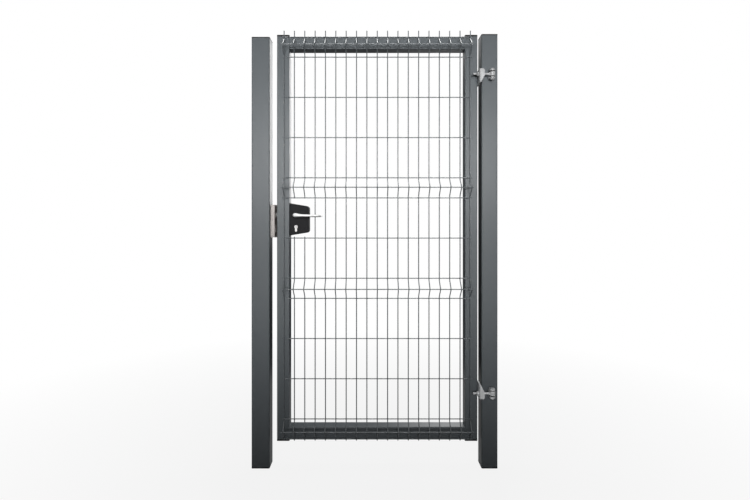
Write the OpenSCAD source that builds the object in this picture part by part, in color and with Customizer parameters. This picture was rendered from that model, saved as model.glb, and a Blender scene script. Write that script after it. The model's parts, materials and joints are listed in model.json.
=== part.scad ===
// Pedestrian gate: a square-tube leaf faced with folded welded mesh, hung between two square-tube posts.
// Millimetres, +Z up. +X runs from the lock side to the hinge side and -Y is the outer side, towards
// which the leaf opens. The origin is the centre of the hinge post's foot.

/* [Posts] */
// Width of the hinge post across the opening
hinge_post_w = 80; // [60:1:120]
// Width of the latch post across the opening
latch_post_w = 90; // [60:1:120]
// Depth of both posts
post_d = 80; // [70:1:120]
// Wall of the post tube
post_wall = 3; // [2:0.5:5]
// Outer corner radius of the post tube
post_corner_r = 6; // [5:0.5:10]
// Height of the hinge post with its cap and foot plug
hinge_post_h = 2158; // [2100:1:2400]
// Height of the latch post with its cap and foot plug
latch_post_h = 2144; // [2100:1:2400]
// Thickness of the plate of a post's cap or foot plug
cap_t = 4; // [3:0.5:8]
// Depth of the skirt that holds a cap or plug in its tube
skirt_l = 15; // [8:1:30]
// Wall of that skirt
skirt_wall = 2; // [1.5:0.5:3]
// Play between the skirt and the inside of its tube
skirt_play = 0.3; // [0.2:0.05:0.6]

/* [Leaf frame] */
// Width of the leaf over its stiles
leaf_w = 999; // [800:1:1200]
// Height of the leaf over its stile caps
leaf_h = 2024.5; // [2018:0.5:2032]
// Height of the leaf's underside above the ground
leaf_z = 133; // [60:1:150]
// Gap between the leaf and the hinge post
hinge_gap = 18.5; // [16:0.5:30]
// Gap between the leaf and the latch post
latch_gap = 35; // [34:1:50]
// Width and depth of the square frame tube
tube_w = 62; // [50:1:70]
// Wall of the frame tube
tube_wall = 2; // [1.5:0.5:4]
// Outer corner radius of the frame tube
tube_corner_r = 4; // [4:0.5:8]
// Thickness of the plate of a stile's cap
stile_cap_t = 7; // [4:0.5:9]
// Step from the stiles' upper tube end down to the top rail
top_rail_inset = 2; // [0:0.5:12]
// Step from the stiles' lower tube end up to the bottom rail
bottom_rail_inset = 1; // [0:0.5:12]

/* [Mesh] */
// Diameter of the mesh wire
wire_d = 5; // [4:0.5:6]
// Number of upright wires
wires = 19; // [9:2:19]
// Spacing of the upright wires
wire_pitch = 51.5; // [48:0.1:52]
// Spacing of the level wires between folds
row_pitch = 200; // [190:1:205]
// Spacing of the level wires at a fold
fold_pitch = 50; // [45:1:55]
// Half height of a fold's bent stretch
fold_half = 40; // [36:1:44]
// How far a fold stands out of the mesh
fold_depth = 40; // [25:1:50]
// Number of open rows between one fold and the next, from the bottom up
bays = [3, 2, 3];
// Height of the lowest wire above the leaf's underside
mesh_lift = 11.5; // [8:0.5:20]
// Length of the barbs above the top wire
barb_l = 30; // [0:1:30]
// Length of the level wires past the last crossing
overhang = 10; // [5:1:15]
// Length of the upright wires below the lowest level wire
foot_l = 5; // [3:0.5:8]
// Depth by which two wires melt into each other at a weld
weld = 0.3; // [0.2:0.05:0.6]

/* [Hinges] */
// Height of the lower hinge above the leaf's underside
low_hinge_rise = 249; // [150:1:400]
// Drop from the leaf's top to the upper hinge
high_hinge_drop = 205.5; // [150:0.5:400]
// Distance of the hinge axis from the hinge post's middle, away from the leaf
pivot_shift = 7; // [0:1:15]
// Distance of the hinge axis in front of the hinge post
pivot_stand = 22; // [20:0.5:26]
// Radius of the hinge pin
pin_r = 6; // [5:0.5:8]
// Radial play of the eye on the pin
eye_play = 0.08; // [0.03:0.01:0.1]
// Outer radius of the eye
eye_r = 14; // [12:0.5:15]
// Height of the eye
eye_h = 23; // [18:1:28]
// Radius of the eye bolt's rod
rod_r = 6; // [5:0.5:7]
// Length of the eye bolt from the hinge axis to its free end
rod_l = 95; // [94:1:110]
// Height of the rounding at the rod's free end
rod_dome = 2; // [1:0.5:3]
// Distance from the hinge axis at which the eye bolt's neck has narrowed to the rod
neck_l = 22; // [20:1:28]
// Step from the eye's rim in to the start of the neck
neck_step = 1.5; // [1:0.5:3]
// Thickness of a lug of the post bracket
lug_t = 7; // [6:0.5:10]
// Gap between the eye and a lug, which a washer fills
lug_gap = 3.5; // [2:0.5:5]
// Play of the washer in that gap
washer_play = 0.3; // [0.1:0.05:0.6]
// Outer radius of the washer
washer_r = 12.5; // [8.5:0.5:13.5]
// Thickness of the post bracket's back
base_t = 5; // [3:0.5:6]
// Thickness of the leaf bracket's plate
bracket_t = 5; // [4:0.5:6]
// Width of the leaf bracket's front web
web_w = 25; // [22:1:25]
// Gap from the rod to the leaf bracket's front web
web_gap = 4.5; // [4.5:0.5:6]
// Reach of the leaf bracket past the rod on its short side
bracket_short = 24; // [18:1:28]
// Reach of the leaf bracket's front web past the rod on its long side
bracket_long = 43; // [36:1:56]
// Reach of the front web's full width past the rod on its long side
web_shoulder = 9; // [8:1:14]
// Reach of the leaf bracket's fixing plate past the rod on its long side
bracket_foot = 49; // [44:1:60]
// Length of the fixing plate along the side of the stile
bracket_hold = 50; // [30:1:56]
// Width across flats of the eye bolt's nuts
nut_flats = 19; // [17:1:19]
// Thickness of those nuts
nut_t = 10; // [6:0.5:12]
// Play of the rod in the leaf bracket's hole
rod_play = 0.5; // [0.3:0.1:1]
// Thickness of the hinge pin's head and nut
pin_nut_t = 5; // [4:0.5:8]

/* [Lock] */
// Height of the handle's spindle above the ground
handle_z = 1258; // [1200:1:1300]
// Distance of the spindle from the lock stile's inner face
spindle_set = 32.5; // [28:0.5:40]
// Drop from the spindle to the middle of the key cylinder's plug
cylinder_drop = 58; // [50:1:60]
// Width of the lock cover
cover_w = 97; // [90:1:110]
// Height of the lock cover against the stile
cover_h = 162; // [150:1:176]
// Height of the lock cover at its free end, before the corners are rounded
cover_end_h = 130; // [120:1:145]
// Radius of the lock cover's free corners
cover_corner_r = 15; // [6:1:20]
// Depth of each half of the lock cover
cover_d = 25; // [18:1:28]
// Drop from the spindle to the middle of the lock cover's height
cover_drop = 20.5; // [14:0.5:24]
// Side of the square spindle
spindle_w = 8; // [7:0.5:9]
// Radial play between the spindle's corners and its hole
spindle_play = 0.35; // [0.2:0.05:1]
// Length of the lever from the spindle to its tip
lever_l = 127; // [100:1:135]
// Radius of the lever at its root
lever_root_r = 8.5; // [7:0.5:9]
// Radius of the lever at its tip
lever_tip_r = 5; // [4:0.5:6]
// Radius of the ball where the lever meets its neck
lever_ball_r = 9.5; // [9.5:0.5:11]
// Distance of the lever's middle line from the cover
lever_stand = 45; // [38:1:55]
// Length of the lever's end that turns back towards the leaf
lever_return = 16; // [12:1:25]
// Gap between the lever's neck and the cover
neck_gap = 0.5; // [0.3:0.1:1]
// Radius of the key cylinder's round part
cylinder_r = 8.5; // [8.5:0.5:9]
// Width of the key cylinder's lower part
cylinder_tail_w = 10; // [9:0.5:11]
// Overall height of the key cylinder
cylinder_h = 33; // [30:0.5:34]
// How far the key cylinder stands out of each cover
cylinder_proud = 3; // [1:0.5:5]
// Play between the key cylinder and its hole
cylinder_play = 0.2; // [0.1:0.05:0.5]
// Width of the lock's face plate
face_w = 24; // [22:1:30]
// Height of the lock's face plate
face_h = 190; // [170:1:240]
// Thickness of the lock's face plate
face_t = 3; // [2:0.5:4]
// Width of the latch
latch_w = 12; // [10:1:14]
// Height of the latch
latch_h = 20; // [16:1:24]
// How far the latch stands out of the face plate
latch_out = 4; // [4:0.5:6]
// Length of the latch inside the stile
latch_in = 30; // [20:1:40]
// Gap around the latch in the face plate
latch_play = 0.3; // [0.2:0.1:0.5]
// Gap around the latch in the stile's wall
stile_play = 0.6; // [0.4:0.1:1]

/* [Keep] */
// Height of the keep
keep_h = 164; // [150:1:200]
// Width of the keep, from the post to its face
keep_w = 22; // [18:1:22]
// Thickness of the keep's sheet
keep_t = 3; // [2:0.5:3]
// Gap between the closed leaf and the keep's stop
stop_gap = 5; // [3:0.5:8]
// Reach of the keep's stop behind the leaf
stop_reach = 26; // [15:1:40]
// Gap around the latch in the keep's slot
slot_play = 4; // [2:0.5:6]
// Drop from the cylinder's plug to the middle of the keep's slot for the lock's bolt
bolt_drop = 8; // [4:1:12]
// Height of the keep's slot for the lock's bolt
bolt_slot_h = 40; // [30:1:46]

/* [Hidden] */
$fn = 48;
// Overlap of joined solids and overrun of cuts
eps = 0.5;
// Sides of a level wire
wire_sides = 8;
// How far a ball stands proud of the round bars that it joins
ball_lip = 0.2;

// The leaf's edges and the latch post's faces, from the hinge post's middle
leaf_right = -hinge_post_w/2 - hinge_gap;
leaf_left = leaf_right - leaf_w;
leaf_front = -tube_w/2;
latch_face = leaf_left - latch_gap;
latch_post_x = latch_face - latch_post_w/2;
hinge_stile_x = leaf_right - tube_w/2;
lock_stile_x = leaf_left + tube_w/2;
lock_inner = leaf_left + tube_w;
leaf_mid = leaf_left + leaf_w/2;
stile_z = leaf_z + stile_cap_t;
stile_l = leaf_h - 2*stile_cap_t;
bottom_rail_z = stile_z + bottom_rail_inset + tube_w/2;
top_rail_z = stile_z + stile_l - top_rail_inset - tube_w/2;

// The mesh: level wires lie on the frame and upright wires in front of them
mesh_z = leaf_z + mesh_lift;
row_y = leaf_front - wire_d/2;
wire_y = row_y - wire_d + weld;
bar_w = wire_d*sqrt(PI)/2;
function open_rows(k) = k == 0 ? 0 : bays[k - 1] + open_rows(k - 1);
function fold_z(k) = mesh_z + fold_pitch*(2*k + 1) + row_pitch*open_rows(k);
folds = len(bays);
mesh_top = fold_z(folds) + fold_pitch;
mesh_w = (wires - 1)*wire_pitch;
// The two rows of level wire around the lock
lock_row_high = fold_z(2) - fold_pitch;
lock_row_low = lock_row_high - row_pitch;
// Height and standing-out of every level wire
rows = concat(
    [for (k = [0:folds], side = [-1, 1]) [fold_z(k) + side*fold_pitch, 0]],
    [for (k = [0:folds]) [fold_z(k), fold_depth]],
    [for (k = [0:folds - 1], j = [1:bays[k] - 1]) [fold_z(k) + fold_pitch + j*row_pitch, 0]]);

// The hinges
low_hinge_z = leaf_z + low_hinge_rise;
high_hinge_z = leaf_z + leaf_h - high_hinge_drop;
post_front = -post_d/2;
pivot_y = post_front - pivot_stand;
eye_bore_r = pin_r + eye_play;
web_in = pivot_y - rod_r - web_gap;
web_out = web_in - bracket_t;
nut_r = nut_flats/sqrt(3);
fork = eye_h/2 + lug_gap + lug_t;

// The lock
spindle_x = lock_inner + spindle_set;
cover_z = handle_z - cover_drop;
cylinder_z = handle_z - cylinder_drop;
spindle_hole_r = spindle_w/sqrt(2) + spindle_play;
keep_face = latch_face + keep_w;
keep_front = -latch_w/2 - slot_play - keep_t;
keep_back = tube_w/2 + stop_gap + keep_t;
keep_z = (handle_z + cylinder_z)/2 - keep_h/2;
bolt_slot_z = cylinder_z - bolt_drop;
steel = [0.24, 0.27, 0.29];
zinc = [0.70, 0.72, 0.74];
black = [0.05, 0.05, 0.06];
stainless = [0.72, 0.71, 0.69];

// Square outline with rounded corners, about its middle
module rounded_square(w, d, r) {
    square([w - 2*r, d], center = true);
    square([w, d - 2*r], center = true);
    for (x = [-1, 1], y = [-1, 1]) translate([x*(w/2 - r), y*(d/2 - r)]) circle(r);
}

// Upright square tube standing on its own origin
module tube(w, d, wall, r, l) {
    linear_extrude(l) difference() {
        rounded_square(w, d, r);
        rounded_square(w - 2*wall, d - 2*wall, r - wall);
    }
}

// Plate over a tube's end with a skirt inside the tube; the plate's underside is at the origin
module end_cap(w, d, wall, r, t) {
    in_w = w - 2*(wall + skirt_play);
    in_d = d - 2*(wall + skirt_play);
    linear_extrude(t) rounded_square(w, d, r);
    translate([0, 0, -skirt_l]) linear_extrude(skirt_l + eps) difference() {
        rounded_square(in_w, in_d, r - wall - skirt_play);
        square([in_w - 2*skirt_wall, in_d - 2*skirt_wall], center = true);
    }
}

module post(w, h) {
    translate([0, 0, cap_t]) tube(w, post_d, post_wall, post_corner_r, h - 2*cap_t);
}

module post_cap(w, h) {
    translate([0, 0, h - cap_t]) end_cap(w, post_d, post_wall, post_corner_r, cap_t);
}

module post_foot(w) {
    translate([0, 0, cap_t]) mirror([0, 0, 1]) end_cap(w, post_d, post_wall, post_corner_r, cap_t);
}

module hinge_post() color(steel) post(hinge_post_w, hinge_post_h);
module hinge_post_cap() color(black) post_cap(hinge_post_w, hinge_post_h);
module hinge_post_foot() color(black) post_foot(hinge_post_w);
module latch_post() color(steel) translate([latch_post_x, 0, 0]) post(latch_post_w, latch_post_h);
module latch_post_cap() color(black) translate([latch_post_x, 0, 0]) post_cap(latch_post_w, latch_post_h);
module latch_post_foot() color(black) translate([latch_post_x, 0, 0]) post_foot(latch_post_w);

module stile() {
    translate([0, 0, stile_z]) tube(tube_w, tube_w, tube_wall, tube_corner_r, stile_l);
}

module stile_top_cap() {
    translate([0, 0, stile_z + stile_l])
        end_cap(tube_w, tube_w, tube_wall, tube_corner_r, stile_cap_t);
}

module stile_bottom_cap() {
    translate([0, 0, stile_z]) mirror([0, 0, 1])
        end_cap(tube_w, tube_w, tube_wall, tube_corner_r, stile_cap_t);
}

module rail(z) {
    translate([lock_inner, 0, z]) rotate([0, 90, 0])
        tube(tube_w, tube_w, tube_wall, tube_corner_r, leaf_w - 2*tube_w);
}

module hinge_stile() color(steel) translate([hinge_stile_x, 0, 0]) stile();
module hinge_stile_top_cap() color(black) translate([hinge_stile_x, 0, 0]) stile_top_cap();
module hinge_stile_bottom_cap() color(black) translate([hinge_stile_x, 0, 0]) stile_bottom_cap();
module lock_stile_top_cap() color(black) translate([lock_stile_x, 0, 0]) stile_top_cap();
module lock_stile_bottom_cap() color(black) translate([lock_stile_x, 0, 0]) stile_bottom_cap();
module top_rail() color(steel) rail(top_rail_z);
module bottom_rail() color(steel) rail(bottom_rail_z);

// The lock stile is open in its outer wall where the latch passes
module lock_stile() color(steel) difference() {
    translate([lock_stile_x, 0, 0]) stile();
    translate([leaf_left, 0, handle_z])
        cube([2*(tube_wall + eps), latch_w + 2*stile_play, latch_h + 2*stile_play], center = true);
}

// Unit normal of the line from a to b, and the path p moved sideways by d with mitred corners
function normal(a, b) = [b[1] - a[1], a[0] - b[0]]/norm(b - a);
function miter(m, n) = (m + n)/(1 + m*n);
function shifted(p, d) = [for (i = [0:len(p) - 1])
    let(m = normal(p[max(i - 1, 0)], p[max(i, 1)]),
        n = normal(p[min(i, len(p) - 2)], p[min(i + 1, len(p) - 1)]))
    p[i] + d*miter(m, n)];

// The bent line of one upright wire, as [y, z] from its foot to its barb
wire_path = concat(
    [[wire_y, mesh_z - foot_l]],
    [for (k = [0:folds], s = [-1, 0, 1])
        [wire_y - fold_depth*(1 - abs(s)), fold_z(k) + s*fold_half]],
    [[wire_y, mesh_top + barb_l]]);
function reversed(p) = [for (i = [len(p) - 1:-1:0]) p[i]];

// Square bars of the round wire's own weight stand for the upright wires
module upright_wire() {
    rotate([90, 0, 90]) linear_extrude(bar_w, center = true)
        polygon(concat(shifted(wire_path, bar_w/2), reversed(shifted(wire_path, -bar_w/2))));
}

module level_wire() {
    rotate([0, 90, 0]) cylinder(h = mesh_w + 2*overhang, d = wire_d, center = true, $fn = wire_sides);
}

// The wires beside the lock are cut away between the two rows around it
module mesh_panel() color(steel) difference() {
    union() {
        for (i = [0:wires - 1]) translate([leaf_mid - mesh_w/2 + i*wire_pitch, 0, 0]) upright_wire();
        for (row = rows) translate([leaf_mid, row_y - row[1], row[0]]) level_wire();
    }
    translate([lock_inner, wire_y - wire_d, lock_row_low + wire_d/2])
        cube([cover_w, 2*wire_d, row_pitch - wire_d]);
}

// U-shaped fork on the hinge post's front: two lugs around the eye, joined by its back
module post_bracket(z) {
    translate([pivot_shift, 0, z]) difference() {
        union() {
            translate([-eye_r, post_front - base_t, -fork]) cube([2*eye_r, base_t, 2*fork]);
            for (s = [-1, 1]) translate([0, pivot_y, s*(fork - lug_t/2)]) {
                cylinder(h = lug_t, r = eye_r, center = true);
                translate([-eye_r, 0, -lug_t/2]) cube([2*eye_r, pivot_stand - base_t + eps, lug_t]);
            }
        }
        translate([0, pivot_y, 0]) cylinder(h = 2*(fork + eps), r = eye_bore_r, center = true);
    }
}

// Pin with a hexagon head above the fork and a nut below it
module hinge_pin(z) {
    translate([pivot_shift, pivot_y, z]) {
        cylinder(h = 2*fork + 2*pin_nut_t, r = pin_r, center = true);
        for (s = [-1, 1]) translate([0, 0, s*(fork + pin_nut_t/2)])
            cylinder(h = pin_nut_t, r = nut_r, center = true, $fn = 6);
    }
}

// The pair of washers that keeps the eye off the lugs
module hinge_washers(z) {
    for (s = [-1, 1]) translate([pivot_shift, pivot_y, z + s*(eye_h + lug_gap)/2]) difference() {
        cylinder(h = lug_gap - washer_play, r = washer_r, center = true);
        cylinder(h = lug_gap + 2*eps, r = eye_bore_r, center = true);
    }
}

// Eye around the pin with a neck and a rod that runs level towards the leaf
module eye_bolt(z) {
    neck_x = eye_r/2;
    translate([pivot_shift, pivot_y, z]) difference() {
        union() {
            cylinder(h = eye_h, r = eye_r, center = true);
            rotate([0, -90, 0]) {
                translate([0, 0, neck_x]) cylinder(h = neck_l - neck_x, r1 = eye_h/2 - neck_step, r2 = rod_r);
                cylinder(h = rod_l - rod_dome, r = rod_r);
                translate([0, 0, rod_l - rod_dome])
                    cylinder(h = rod_dome, r1 = rod_r, r2 = rod_r - rod_dome);
            }
        }
        cylinder(h = eye_h + 2*eps, r = eye_bore_r, center = true);
    }
}

// The pair of nuts that clamps the rod to the leaf bracket's fixing plate
module eye_nuts(z) {
    for (x = [leaf_right - nut_t, leaf_right + bracket_t])
        translate([x, pivot_y, z]) rotate([0, 90, 0]) difference() {
            cylinder(h = nut_t, r = nut_r, $fn = 6);
            translate([0, 0, -eps]) cylinder(h = nut_t + 2*eps, r = rod_r + eye_play);
        }
}

// Bent plate on the side of the hinge stile; its front web narrows away from the rod. The long side
// points down on the upper hinge (side -1) and up on the lower one (side 1)
module leaf_bracket(z, side) {
    slope = web_w - bracket_t;
    translate([0, 0, z]) {
        translate([leaf_right, 0, 0]) difference() {
            rotate([90, 0, 90]) linear_extrude(bracket_t) polygon([
                [web_out, -side*bracket_short], [leaf_front + bracket_hold, -side*bracket_short],
                [leaf_front + bracket_hold, side*bracket_foot], [leaf_front, side*bracket_foot],
                [web_out, side*bracket_long]]);
            translate([0, pivot_y, 0]) rotate([0, 90, 0])
                cylinder(h = 2*(bracket_t + eps), r = rod_r + rod_play, center = true);
        }
        translate([leaf_right, web_in, 0]) rotate([90, 0, 0]) linear_extrude(bracket_t) polygon([
            [0, -side*bracket_short], [web_w, -side*bracket_short], [web_w, side*web_shoulder],
            [web_w - slope, side*bracket_long], [0, side*bracket_long]]);
    }
}

module upper_post_bracket() color(zinc) post_bracket(high_hinge_z);
module lower_post_bracket() color(zinc) post_bracket(low_hinge_z);
module upper_hinge_pin() color(zinc) hinge_pin(high_hinge_z);
module lower_hinge_pin() color(zinc) hinge_pin(low_hinge_z);
module upper_hinge_washers() color(black) hinge_washers(high_hinge_z);
module lower_hinge_washers() color(black) hinge_washers(low_hinge_z);
module upper_eye_bolt() color(zinc) eye_bolt(high_hinge_z);
module lower_eye_bolt() color(zinc) eye_bolt(low_hinge_z);
module upper_eye_nuts() color(zinc) eye_nuts(high_hinge_z);
module lower_eye_nuts() color(zinc) eye_nuts(low_hinge_z);
module upper_leaf_bracket() color(zinc) leaf_bracket(high_hinge_z, -1);
module lower_leaf_bracket() color(zinc) leaf_bracket(low_hinge_z, 1);

// Lock cover's outline: its height falls along its width and its free corners are rounded
module cover_outline() {
    slope = atan((cover_h - cover_end_h)/2/cover_w);
    x = cover_w - cover_corner_r;
    z = cover_h/2 - x*tan(slope) - cover_corner_r/cos(slope);
    hull() {
        translate([0, -cover_h/2]) square([eps, cover_h]);
        for (s = [-1, 1]) translate([x, s*z]) circle(cover_corner_r);
    }
}

// Outline of the key cylinder about its plug, widened by play
module cylinder_outline(play) {
    tail_r = cylinder_tail_w/2;
    drop = cylinder_h - cylinder_r - tail_r;
    circle(cylinder_r + play);
    translate([0, -drop]) circle(tail_r + play);
    translate([-tail_r - play, -drop]) square([cylinder_tail_w + 2*play, drop]);
}

// Half of the lock cover on one side of the leaf's middle plane: side -1 is in front and 1 is behind
module lock_cover(side) {
    rotate([90, 0, 0]) translate([0, 0, side < 0 ? 0 : -cover_d]) linear_extrude(cover_d) difference() {
        translate([lock_inner, cover_z]) cover_outline();
        translate([spindle_x, handle_z]) circle(spindle_hole_r);
        translate([spindle_x, cylinder_z]) cylinder_outline(cylinder_play);
    }
}

module key_cylinder() color(zinc) rotate([90, 0, 0])
    translate([spindle_x, cylinder_z, -cover_d - cylinder_proud])
    linear_extrude(2*(cover_d + cylinder_proud)) cylinder_outline(0);

// Round lever on a neck in front of the cover, with its end turned back
module lever() {
    tip = lever_l - lever_tip_r;
    rotate([90, 0, 0]) translate([0, 0, cover_d + neck_gap])
        cylinder(h = lever_stand - neck_gap, r = lever_root_r);
    translate([0, -cover_d - lever_stand, 0]) {
        sphere(lever_ball_r);
        rotate([0, 90, 0]) cylinder(h = tip, r1 = lever_root_r, r2 = lever_tip_r - ball_lip);
        translate([tip, 0, 0]) sphere(lever_tip_r);
        translate([tip, 0, 0]) rotate([-90, 0, 0]) cylinder(h = lever_return, r = lever_tip_r - ball_lip);
    }
}

module front_lock_cover() color(black) lock_cover(-1);
module back_lock_cover() color(black) lock_cover(1);
module front_handle() color(stainless) translate([spindle_x, 0, handle_z]) lever();
module back_handle() color(stainless) translate([spindle_x, 0, handle_z]) mirror([0, 1, 0]) lever();

module handle_spindle() color(zinc) translate([spindle_x, 0, handle_z])
    cube([spindle_w, 2*(cover_d + neck_gap), spindle_w], center = true);

// Face plate on the lock stile's outer side, cut through for the latch
module lock_face_plate() color(stainless) translate([leaf_left - face_t, 0, 0]) difference() {
    translate([0, -face_w/2, keep_z + (keep_h - face_h)/2]) cube([face_t, face_w, face_h]);
    translate([face_t/2, 0, handle_z])
        cube([face_t + 2*eps, latch_w + 2*latch_play, latch_h + 2*latch_play], center = true);
}

// Latch with its inner side sloped, so that the closing leaf pushes it in
module latch() color(zinc) translate([leaf_left - face_t - latch_out, 0, handle_z - latch_h/2])
    linear_extrude(latch_h) polygon([
        [0, -latch_w/2], [latch_out + face_t + latch_in, -latch_w/2],
        [latch_out + face_t + latch_in, latch_w/2], [latch_out, latch_w/2], [0, 0]]);

// Folded keep on the latch post's side: a front leg, a slotted face and a leg that stops the leaf
module keep() color(stainless) difference() {
    translate([latch_face, 0, keep_z]) linear_extrude(keep_h) {
        translate([0, keep_front]) square([keep_w, keep_t]);
        translate([keep_w - keep_t, keep_front]) square([keep_t, keep_back - keep_front]);
        translate([0, keep_back - keep_t]) square([latch_gap + stop_reach, keep_t]);
    }
    translate([keep_face, 0, handle_z])
        cube([2*(keep_t + eps), latch_w + 2*slot_play, latch_h + 2*slot_play], center = true);
    translate([keep_face, 0, bolt_slot_z])
        cube([2*(keep_t + eps), latch_w + 2*slot_play, bolt_slot_h], center = true);
}

hinge_post();
hinge_post_cap();
hinge_post_foot();
latch_post();
latch_post_cap();
latch_post_foot();
keep();
upper_post_bracket();
lower_post_bracket();
upper_hinge_pin();
lower_hinge_pin();
upper_hinge_washers();
lower_hinge_washers();
hinge_stile();
lock_stile();
top_rail();
bottom_rail();
hinge_stile_top_cap();
hinge_stile_bottom_cap();
lock_stile_top_cap();
lock_stile_bottom_cap();
mesh_panel();
upper_leaf_bracket();
lower_leaf_bracket();
upper_eye_bolt();
lower_eye_bolt();
upper_eye_nuts();
lower_eye_nuts();
lock_face_plate();
front_lock_cover();
back_lock_cover();
key_cylinder();
front_handle();
back_handle();
handle_spindle();
latch();
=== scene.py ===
"""Pedestrian gate: finished pieces, their materials, the floor, the light and the camera."""

import json
from math import asin, atan, cos, degrees, pi, radians, sin, sqrt, tan

import bmesh
import bpy
from mathutils import Matrix, Vector
from mathutils.geometry import tessellate_polygon


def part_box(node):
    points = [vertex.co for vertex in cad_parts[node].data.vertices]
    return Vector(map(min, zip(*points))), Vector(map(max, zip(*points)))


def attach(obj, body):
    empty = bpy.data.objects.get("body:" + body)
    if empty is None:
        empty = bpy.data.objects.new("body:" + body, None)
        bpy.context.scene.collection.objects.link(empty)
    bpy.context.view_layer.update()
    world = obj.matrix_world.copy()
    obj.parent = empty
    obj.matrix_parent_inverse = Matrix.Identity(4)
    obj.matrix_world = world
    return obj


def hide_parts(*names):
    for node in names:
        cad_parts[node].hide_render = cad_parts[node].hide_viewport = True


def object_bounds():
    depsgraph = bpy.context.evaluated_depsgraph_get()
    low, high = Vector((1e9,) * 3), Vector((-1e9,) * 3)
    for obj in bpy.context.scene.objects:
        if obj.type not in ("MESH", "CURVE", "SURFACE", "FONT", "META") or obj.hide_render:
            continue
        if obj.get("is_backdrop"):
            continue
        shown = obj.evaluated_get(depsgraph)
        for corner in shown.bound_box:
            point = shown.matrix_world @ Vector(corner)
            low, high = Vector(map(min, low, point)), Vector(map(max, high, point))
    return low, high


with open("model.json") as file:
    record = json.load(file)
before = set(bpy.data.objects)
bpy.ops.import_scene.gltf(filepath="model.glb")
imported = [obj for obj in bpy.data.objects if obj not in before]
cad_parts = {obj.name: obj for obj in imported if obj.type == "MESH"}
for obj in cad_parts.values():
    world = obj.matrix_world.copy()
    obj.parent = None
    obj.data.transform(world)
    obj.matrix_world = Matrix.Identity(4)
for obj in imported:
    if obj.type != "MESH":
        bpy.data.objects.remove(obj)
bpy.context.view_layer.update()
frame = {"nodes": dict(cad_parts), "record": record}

bl_info = {"name": "Pedestrian gate", "version": (1, 0, 0), "blender": (4, 5, 0),
    "location": "3D View > Sidebar > Gate",
    "description": "Finished pieces, materials, floor and light for a pedestrian gate",
    "category": "Object",}

X, Y, Z = Vector((1, 0, 0)), Vector((0, 1, 0)), Vector((0, 0, 1))
DONE = {"FINISHED"}
HINGES = ("upper", "lower")
# The lower hinge's plating is the upper hinge's zinc painted lighter, as painted light
PLATING = {"upper": "Zinc plating", "lower": "Bright zinc plating"}
# Open rows above each fold of the mesh, from the bottom up
BAYS = (3, 2, 3, 0)
# Shift of the camera's picture across and up, as shares of its width
SHIFT = (0.0087, -0.0367)
# Distances from the gate's middle between which the floor grows to full white, and the ramp's whole reach
FLOOR_NEAR, FLOOR_FAR, FLOOR_REACH = 0.6, 3.0, 4.0
# Each soft lamp: the setting with its power, its place and its aim from the gate's middle, its width and
# height, and its spread in degrees
LAMPS = {"Front softbox": ("front", (0.0, -3.4, 1.88), (0.0, 0.0, 1.88), (3.4, 1.0), 57.0),
    "Top softbox": ("top", (0.0, 0.35, 3.2), (0.0, 0.1, 1.6), (2.6, 0.5), 120.0),
    "Low softbox": ("low", (0.0, -3.4, 0.65), (0.0, 0.0, 0.65), (3.4, 0.4), 30.0),
    "Back softbox": ("back", (1.6, 6.5, 3.0), (0.0, 0.0, 1.6), (1.5, 3.2), 180.0)}
# Each dark cloth: its lowest and highest x, its y, and its lowest and highest z
FLAGS = {"far_flag": (-4.6, -0.2, 6.5, 0.0, 4.2), "near_flag": (-1.6, 0.8, 1.5, 0.0, 1.15)}
# Inset from a cap's rim, and the share of the crown's rise that is reached there
CROWN = ((0.004, 0.4), (0.010, 0.8), (0.020, 1.0))
# Share of a bolt's radius that its nut's bore has, so that the two threads overlap
NUT_BORE = 0.98
# Each slot's own material
FINISHES = {"coated_steel": "Powder coat", "coated_wire": "Coated wire", "black_plastic": "Moulded plastic",
            "zinc_plate": "Zinc plating", "stainless_steel": "Brushed stainless",
            "bright_aluminium": "Satin aluminium"}


def in_mm(*rows):
    """Rows of millimetres as rows of metres."""
    return [tuple(number * 0.001 for number in row) for row in rows]


# Radius and height of the bush round a lever's neck, of the neck's foot and of a hinge screw's washer
BUSH = in_mm((0, 0), (12.5, 0), (12.5, 1.8), (11.8, 2.6), (9.5, 2.6), (9.2, 1.5), (0, 1.5))
NECK_FOOT = in_mm((0, 0.5), (8.3, 0.5), (8.3, 12), (7.6, 20))
SCREW_WASHER = in_mm((0, 0), (9, 0), (9, 1), (8.5, 1.5), (0, 1.5))
# Radius and height of a countersunk screw's head, with its socket
SCREW_HEAD = in_mm((0, -3), (2.5, -3), (3.8, 0), (2.2, 0.1), (1.8, -1.2), (0, -1.2))
# Outline of the key's slot, which a thin black sheet on the plug's face shows as painted shade instead of a
# cut
KEYWAY_SHADE_SHEET = in_mm((-0.6, -4.2), (0.6, -4.2), (0.6, -1.2), (1.3, -0.6), (0.6, 0.4), (0.6, 4), (-0.6, 4),
               (-0.6, 1.4), (-1.3, 0.8), (-0.6, -0.2))
# Along a lever: distance past the spindle, height over it, half width and half height
LEVER = in_mm((-9.5, 0, 0.6, 0.6), (-9.1, 0, 3.6, 3.6), (-7.6, 0.1, 6.2, 6.6), (-4.8, 0.2, 8.2, 8.8),
              (-0.5, 0.3, 9.2, 9.9), (5, 0, 9.3, 9.7), (11, -0.6, 8.8, 8.7), (19, -1.3, 8.1, 7.6),
              (31, -1.8, 7.5, 6.8), (47, -2.3, 7, 6.3), (71, -2.9, 6.3, 5.7), (92, -3.3, 5.8, 5.2),
              (105, -3.4, 5.5, 4.9))
# Beyond a lever's bend: distance along its turned-back end, and share of its full thickness
LEVER_TIP = ((0.004, 0.97), (0.0065, 0.85), (0.0082, 0.60), (0.0088, 0.25))


# Materials


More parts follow.
